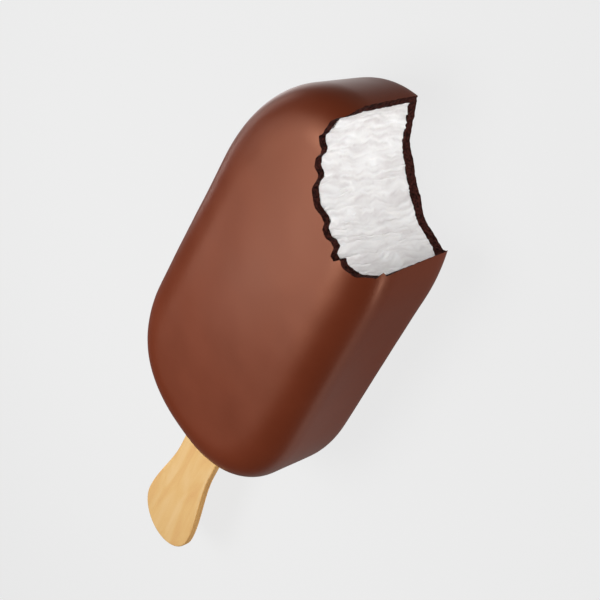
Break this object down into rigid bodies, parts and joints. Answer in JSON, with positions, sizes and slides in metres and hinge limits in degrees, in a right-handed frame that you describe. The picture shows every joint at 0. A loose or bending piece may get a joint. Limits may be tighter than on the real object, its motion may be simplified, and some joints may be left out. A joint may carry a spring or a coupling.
{
  "type": "ice cream bar",
  "caption": "Chocolate-coated ice cream bar on a flat wooden stick, lying on its back, with a bite out of one top corner.",
  "frame": {"origin": "middle of the bar's flat back, on the surface that the bar lies on", "axes": "+Y along the bar towards the bitten end, +Z out of the face that shows, the stick points along -Y"},
  "size_m": [0.0476, 0.1373, 0.0266],
  "materials": {
    "chocolate": "smooth, semi-gloss milk chocolate",
    "ice_cream": "frozen cream, rough where bitten",
    "wood": "plain sanded birch"
  },
  "bodies": {
    "root": {"chocolate_coating": "chocolate", "ice_cream": "ice_cream", "stick": "wood"}
  },
  "joints": []
}
